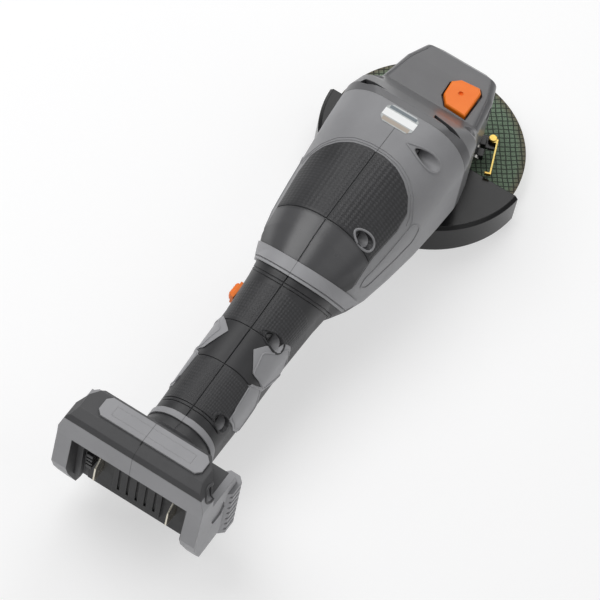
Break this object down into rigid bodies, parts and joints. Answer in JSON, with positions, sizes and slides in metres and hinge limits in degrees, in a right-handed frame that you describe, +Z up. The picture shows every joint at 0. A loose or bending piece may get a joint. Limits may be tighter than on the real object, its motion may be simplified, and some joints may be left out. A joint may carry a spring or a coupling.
{
  "type": "cordless angle grinder",
  "caption": "Cordless angle grinder with a bevel gear head, cutting disc, adjustable guard, rubber grip and slide-on battery foot, shown without its battery.",
  "frame": {"origin": "centre of the bounding box in X and Y, at its lowest point", "axes": "+X from the battery foot to the gear head, +Z up away from the disc, +Y to the tool's left"},
  "size_m": [0.4074, 0.1362, 0.1101],
  "materials": {
    "dark_paint": "satin",
    "bare_aluminium": "satin",
    "zinc_steel": "satin",
    "black_steel": "satin",
    "label_foil": "gloss",
    "bright_steel": "satin",
    "abrasive_resin": "matte",
    "black_plastic": "matte",
    "magnet": "satin",
    "lamination": "matte",
    "copper_wire": "satin",
    "circuit_board": "satin",
    "soft_rubber": "matte",
    "light_grey_plastic": "satin",
    "mid_grey_plastic": "satin",
    "dark_grey_plastic": "satin",
    "orange_plastic": "satin",
    "nickel": "gloss",
    "black_gloss": "gloss",
    "yellow_zinc": "satin"
  },
  "bodies": {
    "housing": {"gear_housing": "dark_paint", "bearing_box": "bare_aluminium", "bearing_box_screws": "zinc_steel", "gear_housing_screws": "black_steel", "bearing_retainer": "bare_aluminium", "name_label": "label_foil", "spindle_bearings": "bright_steel", "stator_core": "lamination", "stator_windings": "copper_wire", "motor_bearings": "bright_steel", "sensor_board": "circuit_board", "fan_baffle": "black_plastic", "motor_pad": "soft_rubber", "collar_ring": "light_grey_plastic", "rear_ring": "light_grey_plastic", "shell_screws": "black_steel", "switch_body": "black_plastic", "controller": "black_plastic", "foot_frame": "light_grey_plastic", "foot_panel": "dark_grey_plastic", "foot_strip": "light_grey_plastic", "strip_lens": "light_grey_plastic", "battery_rails": "dark_grey_plastic", "terminal_block": "black_plastic", "blade_terminals": "nickel", "signal_connector": "dark_grey_plastic", "foot_screw": "black_steel", "shell_left": "mid_grey_plastic", "grip_left": "soft_rubber", "grip_plate_left": "light_grey_plastic", "grip_strip_left": "light_grey_plastic", "foot_core_left": "dark_grey_plastic", "foot_cheek_left": "light_grey_plastic", "thumb_pad_left": "light_grey_plastic", "shell_right": "mid_grey_plastic", "grip_right": "soft_rubber", "grip_plate_right": "light_grey_plastic", "grip_strip_right": "light_grey_plastic", "foot_core_right": "dark_grey_plastic", "foot_cheek_right": "light_grey_plastic", "thumb_pad_right": "light_grey_plastic"},
    "spindle": {"spindle": "bright_steel", "bevel_gear": "bright_steel", "inner_flange": "bright_steel", "cutting_disc": "abrasive_resin", "flange_nut": "black_steel"},
    "rotor": {"rotor_shaft": "bright_steel", "pinion": "bright_steel", "cooling_fan": "black_plastic", "rotor_core": "bright_steel", "rotor_magnets": "magnet"},
    "guard": {"guard_shell": "black_gloss", "guard_clamp": "black_gloss", "clamp_bolt": "zinc_steel", "lever_pin": "yellow_zinc"},
    "guard_lever": {"clamp_lever": "yellow_zinc"},
    "lock_button": {"lock_button": "orange_plastic", "lock_pin": "bright_steel", "lock_spring": "bright_steel"},
    "switch_slider": {"slider_button": "orange_plastic"}
  },
  "joints": [
    {"name": "spindle_spin", "type": "hinge", "parent": "housing", "child": "spindle", "pos_m": [0.14125, 0, 0.0137], "axis": [0, 0, 1], "continuous": true},
    {"name": "rotor_spin", "type": "hinge", "parent": "housing", "child": "rotor", "pos_m": [0.05125, 0, 0.0607], "axis": [1, 0, 0], "continuous": true},
    {"name": "guard_turn", "type": "hinge", "parent": "housing", "child": "guard", "pos_m": [0.14125, 0, 0.0227], "axis": [0, 0, 1], "range_deg": [-45, 85]},
    {"name": "lever_swing", "type": "hinge", "parent": "guard", "child": "guard_lever", "pos_m": [0.16211, -0.03391, 0.0257], "axis": [0, 0, 1], "range_deg": [0, 75]},
    {"name": "lock_press", "type": "slide", "parent": "housing", "child": "lock_button", "axis": [0, 0, -1], "range_m": [0, 0.0025], "stiffness_N_per_m": 600, "springref_m": -0.002, "deforming": ["lock_spring"]},
    {"name": "switch_slide", "type": "slide", "parent": "housing", "child": "switch_slider", "axis": [1, 0, 0], "range_m": [0, 0.006]}
  ],
  "couplings": [
    {"joint": "rotor_spin", "follows": "spindle_spin", "ratio": -3.3636}
  ]
}
